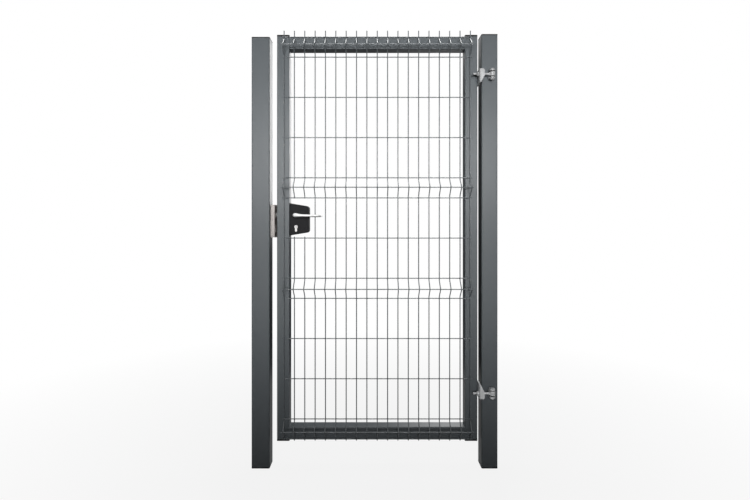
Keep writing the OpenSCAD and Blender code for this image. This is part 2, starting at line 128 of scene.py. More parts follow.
class Value:
    """A shader socket on which Python's own operators add Math nodes."""

    def __init__(self, nodes, socket):
        self.nodes = nodes
        self.socket = socket

    def maths(self, operation, *terms):
        return self.nodes.add("ShaderNodeMath", dict(enumerate(terms)), operation=operation)

    def __add__(self, other):
        return self.maths("ADD", self, other)

    __radd__ = __add__

    def __sub__(self, other):
        return self.maths("SUBTRACT", self, other)

    def __rsub__(self, other):
        return self.maths("SUBTRACT", other, self)

    def __mul__(self, other):
        return self.maths("MULTIPLY", self, other)

    __rmul__ = __mul__


class Nodes:
    """The nodes of one material or of the world."""

    def __init__(self, tree):
        self.tree = tree
        tree.nodes.clear()

    def add(self, kind, inputs, out=0, **settings):
        """Adds a node, with the values or links of its sockets, and gives one of its outputs."""
        node = self.tree.nodes.new(kind)
        for name, setting in settings.items():
            if name == "stops":
                ramp = node.color_ramp.elements
                while len(ramp) < len(setting):
                    ramp.new(1.0)
                for stop, (place, shade) in zip(ramp, setting):
                    stop.position = place
                    stop.color = (shade, shade, shade, 1.0)
            else:
                setattr(node, name, setting)
        for name, value in inputs.items():
            if isinstance(value, Value):
                self.tree.links.new(value.socket, node.inputs[name])
            else:
                node.inputs[name].default_value = value
        return Value(self, node.outputs[out]) if len(node.outputs) else node

    def place(self, stretch=(1.0, 1.0, 1.0)):
        """Position on the object in metres, stretched along its axes."""
        where = self.add("ShaderNodeTexCoord", {}, "Object")
        return self.add("ShaderNodeMapping", {"Vector": where, "Scale": stretch})

    def noise(self, where, scale, detail=2.0, roughness=0.5):
        sockets = {"Vector": where, "Scale": scale, "Detail": detail, "Roughness": roughness}
        return self.add("ShaderNodeTexNoise", sockets, "Fac")

    def cells(self, where, scale, out="Color"):
        return self.add("ShaderNodeTexVoronoi", {"Vector": where, "Scale": scale}, out)

    def ramp(self, value, *stops):
        return self.add("ShaderNodeValToRGB", {"Fac": value}, stops=stops)

    def blend(self, share, first, second):
        """Mixes two colours."""
        return self.add("ShaderNodeMix", {0: share, 6: first, 7: second}, 2, data_type="RGBA")

    def shades(self, share, colour, dark, pale):
        """Mixes a darker and a paler shade of a colour."""
        return self.blend(share, tint(colour, dark), tint(colour, pale))

    def surface(self, shader):
        self.add("ShaderNodeOutputMaterial", {"Surface": shader})

    def principled(self, tone, rough, relief, depth, sockets):
        """Ends the material in a Principled shader whose relief has a depth in metres."""
        bump = self.add("ShaderNodeBump", {"Height": relief, "Distance": depth, "Strength": 1.0})
        self.surface(self.add("ShaderNodeBsdfPrincipled", {
            "Base Color": tone, "Roughness": rough, "Normal": bump, **sockets}))


def tint(colour, factor=1.0):
    """A colour as four numbers, made lighter or darker by a factor."""
    return (*(part * factor for part in colour), 1.0)


def new_material(name):
    material = bpy.data.materials.new(name)
    material.use_nodes = True
    return Nodes(material.node_tree)


def powder_coat(name, colour, gloss, specular):
    """Powder coat: orange peel, a slow drift of tone and sparse pale grains of dust."""
    n = new_material(name)
    where = n.place()
    drift = n.noise(where, 3.5, 4.0)
    cloud = n.noise(where, 38.0, 3.0)
    peel = n.noise(where, 620.0)
    grain = n.noise(where, 2600.0, 1.0)
    dust = n.ramp(n.noise(where, 1400.0, 0.0), (0.68, 0.0), (0.74, 1.0))
    tone = n.shades(drift * 0.6 + cloud * 0.4, colour, 0.90, 1.10)
    tone = n.blend(dust * 0.22, tone, tint(colour, 2.2))
    rough = (1.0 - gloss) + (cloud - 0.5) * 0.10 + (peel - 0.5) * 0.08 + dust * 0.08
    n.principled(tone, rough, peel * 0.75 + grain * 0.25, 0.00006, {"Specular IOR Level": specular})


def moulded_plastic(name, colour, gloss):
    """Moulded plastic: a fine leathery grain and faint flow marks."""
    n = new_material(name)
    where = n.place()
    flow = n.noise(n.place((1.0, 1.0, 0.25)), 26.0, 3.0)
    grain = n.cells(where, 1500.0, "Distance")
    scuff = n.ramp(n.noise(where, 210.0, 5.0, 0.7), (0.60, 0.0), (0.72, 1.0))
    tone = n.blend(scuff * 0.25, n.shades(flow, colour, 0.80, 1.25), tint(colour, 2.2))
    rough = (1.0 - gloss) + (flow - 0.5) * 0.10 + scuff * 0.06
    n.principled(tone, rough, grain, 0.00005, {"Specular IOR Level": 0.1})


def zinc_plating(name, colour, gloss, metal):
    """Zinc plating: crystals of slightly different tone, dull patches and a fine pitted skin."""
    n = new_material(name)
    where = n.place()
    crystal = n.add("ShaderNodeRGBToBW", {"Color": n.cells(where, 420.0)})
    patch = n.noise(where, 70.0, 5.0, 0.6)
    pits = n.noise(where, 1700.0, 3.0)
    dull = n.ramp(patch, (0.42, 0.0), (0.66, 1.0))
    tone = n.shades(crystal * 0.7 + patch * 0.3, colour, 0.86, 1.14)
    bluish = (colour[0] * 0.72, colour[1] * 0.74, colour[2] * 0.78, 1.0)
    rough = (1.0 - gloss) + (crystal - 0.5) * 0.08 + dull * 0.14
    n.principled(n.blend(dull * 0.35, tone, bluish), rough, pits * 0.6 + crystal * 0.4, 0.00005,
                 {"Metallic": metal - dull * 0.15})


def brushed_metal(name, colour, gloss, metal, stroke, depth=0.00002):
    """Brushed metal: long fine scratches along the axis where stroke is small."""
    n = new_material(name)
    where = n.place(stroke)
    lines = n.noise(where, 1900.0)
    bands = n.noise(where, 240.0, 3.0)
    smear = n.noise(n.place(), 22.0, 4.0, 0.6)
    tone = n.shades(lines * 0.5 + bands * 0.5, colour, 0.90, 1.08)
    tone = n.blend(n.ramp(smear, (0.45, 0.0), (0.75, 1.0)) * 0.25, tone, tint(colour, 0.80))
    rough = (1.0 - gloss) + (bands - 0.5) * 0.14 + (smear - 0.5) * 0.12
    n.principled(tone, rough, lines, depth, {"Metallic": metal})


def weld_bead(name, colour, gloss, specular):
    """Coated weld bead: the coat over the bead's own ripples and spatter."""
    n = new_material(name)
    where = n.place()
    lump = n.noise(where, 260.0, 3.0)
    peel = n.noise(where, 900.0)
    rough = (1.0 - gloss) + (lump - 0.5) * 0.16
    n.principled(n.shades(lump, colour, 0.85, 1.12), rough, lump * 0.8 + peel * 0.2, 0.0003,
                 {"Specular IOR Level": specular})


# Shapes


def show(name, data):
    """Puts a mesh, a lamp or a camera in the scene."""
    made = bpy.data.objects.new(name, data)
    bpy.context.scene.collection.objects.link(made)
    return made


def at(*place):
    """A point or a direction, flat or in space."""
    return Vector(place)


def polar(radius, turn, height):
    """A point at a radius and an angle about the Z axis."""
    return at(radius * cos(turn), radius * sin(turn), height)


def circle(sides):
    """Angles of the corners of a whole turn."""
    return [2 * pi * i / sides for i in range(sides)]


def quarter(steps):
    """Angles from nought to a quarter turn."""
    return [pi / 2 * i / steps for i in range(steps + 1)]


def middle_of(node):
    """Middle of a node's box."""
    return sum(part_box(node), Vector()) / 2


def each_hinge(part):
    """For each hinge: its level, one of its nodes, and that node's box and middle."""
    for level in HINGES:
        lo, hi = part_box(level + part)
        yield level, level + part, lo, hi, (lo + hi) / 2


def aim(origin, axis, across):
    """Placement whose local Z runs along axis and whose local X runs along across."""
    turned = Matrix((across, axis.cross(across), axis)).transposed().to_4x4()
    turned.translation = origin
    return turned


def lift(place, height, x=0.0, y=0.0):
    """A placement moved along its own axes."""
    return place @ Matrix.Translation((x, y, height))


def arc(centre, radius, start, end, steps):
    """Points along a flat arc, from one angle to another in degrees."""
    angles = [radians(start + (end - start) * i / steps) for i in range(steps + 1)]
    return [at(centre[0] + radius * cos(a), centre[1] + radius * sin(a)) for a in angles]


def rounded(width, height, radius, steps=6, centre=(0.0, 0.0)):
    """Rectangle with rounded corners, anticlockwise about its centre."""
    loop = []
    for i, (sx, sy) in enumerate(((1, 1), (-1, 1), (-1, -1), (1, -1))):
        corner = (centre[0] + sx * (width / 2 - radius), centre[1] + sy * (height / 2 - radius))
        loop += arc(corner, radius, 90 * i, 90 * i + 90, steps)
    return loop


def shifted(loop, distance):
    """A flat loop moved to the left of its own direction, with its sides kept parallel."""
    moved = []
    for i, here in enumerate(loop):
        ahead = (loop[(i + 1) % len(loop)] - here).normalized()
        behind = (here - loop[i - 1]).normalized()
        a, b = at(-behind.y, behind.x), at(-ahead.y, ahead.x)
        moved.append(here + (a + b) * (distance / (1.0 + a.dot(b))))
    return moved


def roll(inset, height, radius, steps):
    """Inset and height of each level of an edge that rolls over to a top."""
    return [(inset + radius * (1 - cos(t)), height - radius * (1 - sin(t))) for t in quarter(steps)]


def rim(depth, edge, steps=3):
    """Inset and height of each level of a plate whose two rims are rounded."""
    low = [(edge * (1 - sin(t)), edge * (1 - cos(t))) for t in quarter(steps)]
    return low + [(inset, depth - height) for inset, height in reversed(low)]


def bend(corners, radius, steps=6):
    """Path through corners in space, each turned with a radius."""
    path = [corners[0]]
    for before, here, after in zip(corners, corners[1:], corners[2:]):
        a, b = (before - here).normalized(), (after - here).normalized()
        half = a.angle(b) / 2
        middle = here + (a + b).normalized() * (radius / sin(half))
        first, last = here + a * (radius / tan(half)), here + b * (radius / tan(half))
        u, v = first - middle, last - middle
        sweep = u.angle(v)
        for i in range(steps + 1):
            t = i / steps
            path.append(middle + (u * sin((1 - t) * sweep) + v * sin(t * sweep)) / sin(sweep))
    path.append(corners[-1])
    return path


class Build:
    """Gathers the faces of one piece and makes it an object that rides on a body."""

    def __init__(self):
        self.mesh = bmesh.new()

    def ring(self, points):
        return [self.mesh.verts.new(p) for p in points]

    def face(self, corners, finish):
        made = self.mesh.faces.new(corners)
        made.material_index = finish
        made.smooth = True

    def join(self, low, high, finish):
        """Faces between two rings; a ring of one point is a tip."""
        a, b = len(low), len(high)
        for i in range(max(a, b)):
            j = (i + 1) % max(a, b)
            self.face(list(dict.fromkeys((low[i % a], low[j % a], high[j % b], high[i % b]))), finish)

    def skin(self, rings, finish=0, closed=False):
        """Skin over a row of rings, closed at both ends or back on itself."""
        made = [self.ring(points) for points in rings]
        for low, high in zip(made, made[1:]):
            self.join(low, high, finish)
        if closed:
            self.join(made[-1], made[0], finish)
            return
        for end in (made[0][::-1], made[-1]):
            if len(end) > 2:
                self.face(end, finish)

    def shell(self, outline, levels, place):
        """Skin through the insets of a flat outline, each at its height."""
        self.skin([[place @ at(*p, height) for p in shifted(outline, inset)] for inset, height in levels])

    def prism(self, loops, depth, edge, place, finish=0, steps=3):
        """Plate from flat loops: first the outline, anticlockwise, then the holes, clockwise."""
        levels = rim(depth, edge, steps)
        columns = []
        for loop in loops:
            column = [self.ring([place @ at(*p, height) for p in shifted(loop, inset)])
                      for inset, height in levels]
            for low, high in zip(column, column[1:]):
                self.join(low, high, finish)
            columns.append(column)
        for end in (0, -1):
            flat = [[at(*p, 0.0) for p in shifted(loop, levels[end][0])] for loop in loops]
            corners = [v for column in columns for v in column[end]]
            for a, b, c in tessellate_polygon(flat):
                self.face([corners[a], corners[b], corners[c]], finish)

    def lathe(self, profile, place, sides=32, finish=0, closed=False):
        """Turns a profile of radius and height about the local Z axis."""
        self.skin([[place @ polar(r, t, h) for t in (circle(sides) if r else [0.0])] for r, h in profile],
                  finish, closed)

    def sweep(self, path, section, sides=12, closed=False):
        """Carries an ellipse along a path; section gives its two radii at each point of the path."""
        count = len(path)
        ahead = [(path[(i + 1) % count] if closed or i + 1 < count else path[i])
                 - (path[i - 1] if closed or i else path[i]) for i in range(count)]
        across = ahead[0].orthogonal() if abs(ahead[0].normalized().z) > 0.9 else Z.cross(ahead[0])
        rings = []
        for here, forward, (wide, high) in zip(path, ahead, section):
            forward = forward.normalized()
            across = (across - forward * across.dot(forward)).normalized()
            up = forward.cross(across)
            rings.append([here + across * (wide * cos(t)) + up * (high * sin(t)) for t in circle(sides)])
        self.skin(rings, closed=closed)

    def blob(self, centre, radii, sides=8, rows=4):
        """Ellipsoid about a centre."""
        place = Matrix.Translation(centre) @ Matrix.Diagonal((*radii, 1.0))
        turns = [pi * i / rows for i in range(rows + 1)]
        self.lathe([(sin(t) if 0 < i < rows else 0, -cos(t)) for i, t in enumerate(turns)],
                   place, sides)

    def hexagon(self, flats, thick, place, bore=0.0, sides=48):
        """Hexagon head, or nut with a bore, whose corners are turned down at both ends."""
        flat = flats / 2
        turns = circle(sides)
        corner = [flat / cos((t + pi / 6) % (pi / 3) - pi / 6) for t in turns]
        seat = flat * 0.94

        def level(radii, heights):
            return [place @ polar(r, t, h) for t, r, h in zip(turns, radii, heights)]

        drop = [(r - seat) * tan(radians(30)) for r in corner]
        rings = [level([seat] * sides, [0.0] * sides), level(corner, drop),
                 level(corner, [thick - d for d in drop]), level([seat] * sides, [thick] * sides)]
        if bore:
            mouth = bore * 0.12
            rings += [level([r] * sides, [h] * sides) for r, h in (
                (bore + mouth, thick), (bore, thick - mouth), (bore, mouth), (bore + mouth, 0.0))]
        self.skin(rings, closed=bool(bore))

    def thread(self, length, radius, pitch, place, sides=24, cuts=6):
        """Threaded rod along local Z, whose ridge climbs one pitch in a turn and fades at the far end."""
        core = radius - 0.6 * pitch
        rings = []
        count = round(length / pitch * cuts)
        for i in range(count + 1):
            height = length * i / count
            room = core - pitch * 0.5 + (length - height)
            ring = []
            for j, turn in enumerate(circle(sides)):
                phase = (height / pitch - j / sides) % 1.0
                ridge = min(1.0, max(0.0, 1.35 * (1.0 - abs(2.0 * phase - 1.0)) - 0.15))
                ring.append(place @ polar(min(core + (radius - core) * ridge, room), turn, height))
            rings.append(ring)
        self.skin(rings)

    def mesh_data(self, name):
        """Ends the gathering and gives the mesh."""
        bmesh.ops.recalc_face_normals(self.mesh, faces=self.mesh.faces)
        data = bpy.data.meshes.new(name)
        self.mesh.to_mesh(data)
        self.mesh.free()
        return data

    def piece(self, name, body, slot, node, *finishes, crease=35.0):
        """Makes the object that replaces a node, smooth but for creases sharper than an angle in degrees."""
        data = self.mesh_data(name)
        for finish in finishes or [FINISHES[slot]]:
            data.materials.append(bpy.data.materials[finish])
        data.set_sharp_from_angle(angle=radians(crease))
        made = show(name, data)
        made.modifiers.new("Even shading", "WEIGHTED_NORMAL").keep_sharp = True
        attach(made, body)
        if node:
            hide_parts(node)
        return made


# What a user may change


def setting(kind, **facts):
    """Makes the function that makes one kind of property from its name, description and default."""
    return lambda name, description, default: kind(name=name, description=description, default=default,
                                                   **{"min": 0, **facts})


length = setting(bpy.props.FloatProperty, unit="LENGTH", precision=4)
colour = setting(bpy.props.FloatVectorProperty, size=3, max=1.0, subtype="COLOR")
share = setting(bpy.props.FloatProperty, max=1.0, subtype="FACTOR")
watts = setting(bpy.props.FloatProperty, unit="POWER")
focus = setting(bpy.props.FloatProperty, min=1.0, unit="CAMERA")
number = setting(bpy.props.IntProperty, min=3)


class GateFinishes(bpy.types.PropertyGroup):
    coat: colour("Coat", "Colour of the powder coat", (0.098, 0.110, 0.118))
    coat_gloss: share("Coat gloss", "How glossy the powder coat is", 0.66)
    coat_shine: share("Coat shine", "Strength of the powder coat's mirror reflection", 0.22)
    wire: colour("Wire coat", "Colour of the mesh wires' coat", (0.098, 0.110, 0.118))
    wire_gloss: share("Wire gloss", "How glossy the wires' coat is", 0.74)
    wire_shine: share("Wire shine", "Strength of the wires' mirror reflection", 0.6)
    plastic: colour("Plastic", "Colour of the caps and the lock covers", (0.012, 0.012, 0.013))
    plastic_gloss: share("Plastic gloss", "How glossy the plastic is", 0.42)
    zinc: colour("Zinc", "Colour of the plated hinge parts", (0.36, 0.365, 0.367))
    # Painted light: the lower hinge's zinc is the same plating as the upper's, painted lighter to stand in
    # for the light that reaches it less
    painted_light_zinc: colour("Lower zinc", "Colour of the lower hinge's plating, which is less weathered",
                     (0.60, 0.608, 0.612))
    zinc_gloss: share("Zinc gloss", "How glossy the plated hinge parts are", 0.54)
    zinc_metal: share("Zinc metal", "How strongly the plated hinge parts mirror their room", 0.25)
    stainless: colour("Stainless", "Colour of the keep and the face plate", (0.255, 0.238, 0.229))
    aluminium: colour("Aluminium", "Colour of the handles", (0.70, 0.70, 0.695))
    nickel: colour("Nickel", "Colour of the key cylinder", (0.46, 0.45, 0.445))
    lever_metal: share("Lever metal", "How strongly the handles mirror their room", 0.4)
    metal: share("Metal", "How strongly the other bare metals mirror their room", 0.6)


class GateFrame(bpy.types.PropertyGroup):
    post_corner: length("Post corner", "Outer corner radius of the posts", 0.006)
    stile_corner: length("Frame corner", "Outer corner radius of the frame tube", 0.004)
    cap_crown: length("Cap crown", "Rise of the caps from their rims to their middles", 0.0006)
    cap_rim: length("Cap rim", "Radius of the caps' rims", 0.0007)
    cap_lip: length("Cap lip", "Height by which the caps' rims lap over the tubes", 0.0015)
    cap_proud: length("Cap overhang", "How far the caps' rims stand out from the tubes", 0.0003)
    skirt: length("Skirt", "Wall of a cap's skirt and the tube's wall beside it", 0.0023)
    bead: length("Bead", "Radius of the weld beads", 0.0022)


class GateMesh(bpy.types.PropertyGroup):
    wire: length("Wire", "Diameter of the wires", 0.005)
    pitch: length("Pitch", "Spacing of the upright wires", 0.0514)
    wires: number("Wires", "Number of upright wires", 19)
    row: length("Row", "Spacing of the level wires between folds", 0.200)
    fold: length("Fold rows", "Spacing of the level wires at a fold", 0.050)
    fold_half: length("Fold half", "Half height of a fold's bent stretch", 0.040)
    fold_depth: length("Fold depth", "How far a fold stands out", 0.040)
    bend: length("Bend", "Radius of the wires' bends", 0.008)
    barb: length("Barb", "Length of wire above the top row", 0.030)
    foot: length("Foot", "Length of wire below the lowest row", 0.005)
    melt: length("Melt", "Depth by which two wires melt into each other", 0.0003)


class GateHinges(bpy.types.PropertyGroup):
    bolt: length("Bolt", "Radius of the pin and of the eye bolt's rod", 0.006)
    thread: length("Thread", "Pitch of the threads", 0.00175)
    flats: length("Flats", "Width across the flats of the nuts", 0.019)
    neck: length("Neck", "Distance from the pin's middle at which the neck has narrowed to the rod", 0.024)
    tip: length("Tip", "Length of the eye bolt's smooth rounded end", 0.012)
    lug: length("Lug", "Thickness of a fork's lug", 0.007)
    back: length("Back", "Thickness of a fork's back", 0.005)
    sheet: length("Sheet", "Thickness of the leaf brackets", 0.005)
    web_shoulder: length("Web shoulder", "Reach of the web's full width past the rod", 0.009)
    web_long: length("Web reach", "Reach of the leaf brackets' web past the rod", 0.043)
    web_corner: length("Bracket corner", "Radius of the leaf brackets' corners", 0.008)


class GateLock(bpy.types.PropertyGroup):
    cover_rim: length("Cover rim", "Radius of the lock covers' rims", 0.0016)
    panel: length("Panel inset", "Distance of the covers' sunk panel from their rims", 0.007)
    cover_end: length("Cover end", "Height of the lock covers at their free end", 0.130)
    cover_corner: length("Cover corner", "Radius of the lock covers' free corners", 0.015)
    bolt_drop: length("Bolt drop", "Drop from the cylinder's plug to the middle of the bolt", 0.008)
    bolt_slot: length("Bolt slot", "Height of the keep's slot for the bolt", 0.040)
    slot_play: length("Slot play", "Gap around the latch in the keep's slots", 0.004)
    lever_short: length("Lever end", "Distance of the levers' rounded end from their longest reach", 0.0035)
    keep_wide: length("Keep width", "Width of the keep from the post to its face", 0.022)
    plug: length("Plug", "Radius of the key cylinder's plug", 0.0062)
    sheet: length("Sheet", "Thickness of the keep", 0.003)
    fold: length("Fold", "Inner radius of the keep's folds", 0.002)


class GateStage(bpy.types.PropertyGroup):
    lens: focus("Lens", "Focal length of the camera", 23.14)
    distance: length("Distance", "Distance of the camera from the gate's middle plane", 2.4325)
    height: length("Height", "Height of the camera", 1.222)
    aside: length("Aside", "How far the camera stands from the gate's middle, towards the latch", 0.03025)
    floor: colour("Floor", "Colour of the floor", (0.17, 0.17, 0.17))
    white: share("White", "How white the floor shows near the gate, where it keeps the shadow", 0.88)
    floor_mirror: share("Floor in metal", "Share of the floor's white that reflections show", 0.25)
    fill: share("Fill", "Strength of the even light from all round", 0.08)
    front: watts("Front light", "Power of the softbox in front, aimed at the upper half", 23.5)
    top: watts("Top light", "Power of the softbox above", 20.0)
    low: watts("Low light", "Power of the narrow softbox in front, aimed at the lower half", 2.7)
    back: watts("Back light", "Power of the softbox behind, at the hinge side", 85.0)


# Operators


class GATE_OT_stage(bpy.types.Operator):
    """Lays the floor and sets the soft lamps, the pale background and the camera"""

    bl_idname = "gate.stage"
    bl_label = "Stage"

    def execute(self, context):
        s = context.scene.gate_stage
        lo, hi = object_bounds()
        middle = (lo.x + hi.x) / 2
        context.scene.view_settings.view_transform = "Standard"

        camera = bpy.data.cameras.new("Camera")
        camera.lens = s.lens
        camera.shift_x, camera.shift_y = SHIFT
        view = show("Camera", camera)
        view.location = (middle - s.aside, -s.distance, s.height)
        view.rotation_euler = (pi / 2, 0.0, 0.0)
        context.scene.camera = view

        world = bpy.data.worlds.new("Pale room")
        world.use_nodes = True
        context.scene.world = world
        white = {"Color": (1.0, 1.0, 1.0, 1.0)}
        n = Nodes(world.node_tree)
        background = n.add("ShaderNodeBackground", {
            **white, "Strength": s.fill + (1.0 - s.fill) * self.seen(n)})
        n.add("ShaderNodeOutputWorld", {"Surface": background})

        n = new_material("Pale floor")
        where = n.place()
        matt = n.add("ShaderNodeBsdfPrincipled", {
            "Base Color": n.shades(n.noise(where, 2.0, 4.0), s.floor, 0.98, 1.02), "Roughness": 0.8,
            "Specular IOR Level": 0.2})
        glow = n.add("ShaderNodeEmission", {**white, "Strength": 1.0})
        away = n.add("ShaderNodeVectorMath", {0: where}, "Value", operation="LENGTH")
        spread = n.ramp(away * (1 / FLOOR_REACH), (FLOOR_NEAR / FLOOR_REACH, s.white),
                        (FLOOR_FAR / FLOOR_REACH, 1.0))
        shown = self.seen(n, s.floor_mirror) * spread
        n.surface(n.add("ShaderNodeMixShader", {0: shown, 1: matt, 2: glow}))
        slab = bmesh.new()
        bmesh.ops.create_grid(slab, x_segments=8, y_segments=8, size=60.0)
        data = bpy.data.meshes.new("floor")
        slab.to_mesh(data)
        slab.free()
        data.materials.append(bpy.data.materials["Pale floor"])
        ground = show("floor", data)
        ground.location = (middle, 0.0, lo.z - 0.0002)
        ground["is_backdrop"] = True

        n = new_material("Dark cloth")
        weave = n.noise(n.place((1.0, 1.0, 4.0)), 60.0)
        n.surface(n.add("ShaderNodeBsdfPrincipled", {
            "Base Color": n.shades(weave, (0.004, 0.004, 0.004), 1.0, 2.0), "Roughness": 0.95,
            "Specular IOR Level": 0.0}))
        for name, (power, place, target, size, spread) in LAMPS.items():
            self.lamp(name, at(middle, 0, 0) + at(*place), at(middle, 0, 0) + at(*target), size,
                      getattr(s, power), spread)
        for name, corners in FLAGS.items():
            self.flag(name, *corners)
        return DONE

    def flag(self, name, left, right, y, low, high):
        """Dark cloth that only reflections show."""
        cloth = bpy.data.meshes.new(name)
        corners = [(left, y, low), (right, y, low), (right, y, high), (left, y, high)]
        cloth.from_pydata(corners, [], [(0, 1, 2, 3)])
        cloth.materials.append(bpy.data.materials["Dark cloth"])
        flag = show(name, cloth)
        flag.visible_camera = flag.visible_diffuse = False
        flag.visible_shadow = flag.visible_transmission = False
        flag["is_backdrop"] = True

    def seen(self, n, mirrored=1.0):
        """1 for the camera and through glass, and the share mirrored for reflections."""
        camera, glossy, glass = (n.add("ShaderNodeLightPath", {}, f"Is {ray} Ray")
                                 for ray in ("Camera", "Glossy", "Transmission"))
        total = camera + glossy * mirrored + glass
        return total.maths("MINIMUM", total, 1.0)

    def lamp(self, name, place, target, size, power, spread):
        """Soft lamp that the camera can't see, aimed at a target."""
        light = bpy.data.lights.new(name, "AREA")
        light.spread = radians(spread)
        light.shape = "RECTANGLE"
        light.size, light.size_y = size
        light.energy = power
        lamp = show(name, light)
        lamp.location = place
        lamp.rotation_euler = (target - place).to_track_quat("-Z", "Y").to_euler()
        lamp.visible_camera = False


class GATE_OT_finishes(bpy.types.Operator):
    """Makes the materials and gives them to the tubes and the spindle"""

    bl_idname = "gate.finishes"
    bl_label = "Finishes"

    def execute(self, context):
        s = context.scene.gate_finishes
        powder_coat("Powder coat", s.coat, s.coat_gloss, s.coat_shine)
        powder_coat("Coated wire", s.wire, s.wire_gloss, s.wire_shine)
        weld_bead("Weld bead", s.coat, s.coat_gloss, s.coat_shine)
        moulded_plastic("Moulded plastic", s.plastic, s.plastic_gloss)
        zinc_plating(PLATING["upper"], s.zinc, s.zinc_gloss, s.zinc_metal)
        # Painted light: the same zinc plating with a colour painted lighter for the lower hinge
        zinc_plating(PLATING["lower"], s.painted_light_zinc, s.zinc_gloss, s.zinc_metal)
        brushed_metal("Brushed stainless", s.stainless, 0.48, s.metal, (1.0, 1.0, 0.02))
        brushed_metal("Satin aluminium", s.aluminium, 0.55, s.lever_metal, (0.05, 1.0, 1.0), 0.00001)
        brushed_metal("Nickelled brass", s.nickel, 0.50, s.metal, (1.0, 0.05, 1.0), 0.00001)
        for row in frame["record"]["subparts"]:
            for slot in frame["nodes"][row["node"]].material_slots:
                slot.material = bpy.data.materials[FINISHES[row["material_slot"]]]
        return DONE


class GATE_OT_caps(bpy.types.Operator):
    """Moulds the crowned caps and foot plugs of the posts and stiles"""

    bl_idname = "gate.caps"
    bl_label = "Caps and foot plugs"

    def execute(self, context):
        s = context.scene.gate_frame
        for tube, body, radius in (
                ("hinge_post", "posts", s.post_corner), ("latch_post", "posts", s.post_corner),
                ("hinge_stile", "leaf", s.stile_corner), ("lock_stile", "leaf", s.stile_corner)):
            for end in ("_cap", "_foot") if body == "posts" else ("_top_cap", "_bottom_cap"):
                self.cap(s, tube, tube + end, body, radius)
        return DONE

    def cap(self, s, tube, cap, body, radius):
        """One cap or plug: a crowned plate with a lipped rim over a skirt inside the tube."""
        (lo, hi), (low, high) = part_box(tube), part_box(cap)
        size = hi - lo
        top = high.z > hi.z
        middle = (lo + hi) / 2
        place = aim(at(middle.x, middle.y, hi.z if top else lo.z), Z if top else -Z, X)
        plate = high.z - hi.z if top else lo.z - low.z
        wall = plate - s.cap_crown
        out, blunt, edge, play = -s.cap_proud, 0.0003, 0.0004, 0.002
        levels = [(edge, -s.cap_lip), (out, blunt - s.cap_lip), *roll(out, wall, s.cap_rim, 4)]
        levels += [(inset, wall + s.cap_crown * rise) for inset, rise in CROWN]
        made = Build()
        made.shell(rounded(size.x, size.y, radius, 8), levels, place)
        skirt, inner = (rounded(size.x - walls * s.skirt - play, size.y - walls * s.skirt - play,
                                radius * 0.5, 4) for walls in (2, 4))
        depth = high.z - low.z - plate
        made.prism([skirt, inner[::-1]], depth, edge, lift(place, -depth), steps=1)
        name = cap.replace("_top", "").replace("_bottom", "") + ("_top" if top else "_plug")
        made.piece(name, body, "black_plastic", cap)


def mesh_rows(s):
    """Height and standing-out of each level wire, from the bottom up."""
    rows, z = [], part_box("mesh_panel")[0].z + s.foot
    for bays in BAYS:
        rows += [(z, 0.0), (z + s.fold, s.fold_depth), (z + 2 * s.fold, 0.0)]
        rows += [(z + 2 * s.fold + j * s.row, 0.0) for j in range(1, bays)]
        z += 2 * s.fold + bays * s.row
    return rows


class GATE_OT_mesh_panel(bpy.types.Operator):
    """Welds the mesh: folded upright wires, level wires and the weld at each crossing"""

    bl_idname = "gate.mesh_panel"
    bl_label = "Mesh panel"

    def execute(self, context):
        s = context.scene.gate_mesh
        lo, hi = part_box("mesh_panel")
        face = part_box("top_rail")[0].y
        r = s.wire / 2
        level_y = face - r
        upright_y = level_y - s.wire + s.melt
        columns = [middle_of("mesh_panel").x + (i - (s.wires - 1) / 2) * s.pitch for i in range(s.wires)]
        rows = mesh_rows(s)
        folds = [z for z, out in rows if out]
        top = max(z for z, _ in rows)
        tip = s.fold_depth + s.bend * (sqrt(2) - 1)

        def upright(x, bottom, height):
            """Path of an upright wire, with a bend at each fold between its ends."""
            corners = [(upright_y, bottom)]
            for fold in folds:
                if bottom < fold < height:
                    corners += [(upright_y, fold - s.fold_half), (upright_y - tip, fold),
                                (upright_y, fold + s.fold_half)]
            corners.append((upright_y, height))
            return bend([at(x, y, z) for y, z in corners], s.bend)

        made = Build()
        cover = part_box("front_lock_cover")
        cut_low = max(z for z, _ in rows if z < cover[0].z)
        cut_high = min(z for z, _ in rows if z > cover[1].z)
        for x in columns:
            stretches = [(lo.z, top + s.barb)]
            if cover[0].x < x < cover[1].x - r:
                stretches = [(lo.z, cut_low + s.wire * 1.4), (cut_high - s.wire * 0.7, top + s.barb)]
            for bottom, height in stretches:
                made.sweep(*self.wire(upright(x, bottom, height), r))
            for z, out in rows:
                deep, high = (0.9, 1.3) if out else (0.75, 1.45)
                made.blob((x, level_y - out - r, z), (r * 1.45, r * deep, r * high))
        for z, out in rows:
            made.sweep(*self.wire([at(x, level_y - out, z) for x in (lo.x, hi.x)], r))
        made.piece("welded_mesh", "leaf", "coated_wire", "mesh_panel", crease=50.0)
        return DONE

    def wire(self, path, radius):
        """Path and sections of a wire whose cut ends are blunted by the coat."""
        ends = [[here + (inward - here).normalized() * (radius * k) for k in (0.0, 0.12, 0.45)]
                for here, inward in ((path[0], path[1]), (path[-1], path[-2]))]
        blunt = [0.55, 0.85, 1.0]
        sizes = blunt + [1.0] * (len(path) - 2) + blunt[::-1]
        return ends[0] + path[1:-1] + ends[1][::-1], [(radius * k, radius * k) for k in sizes]


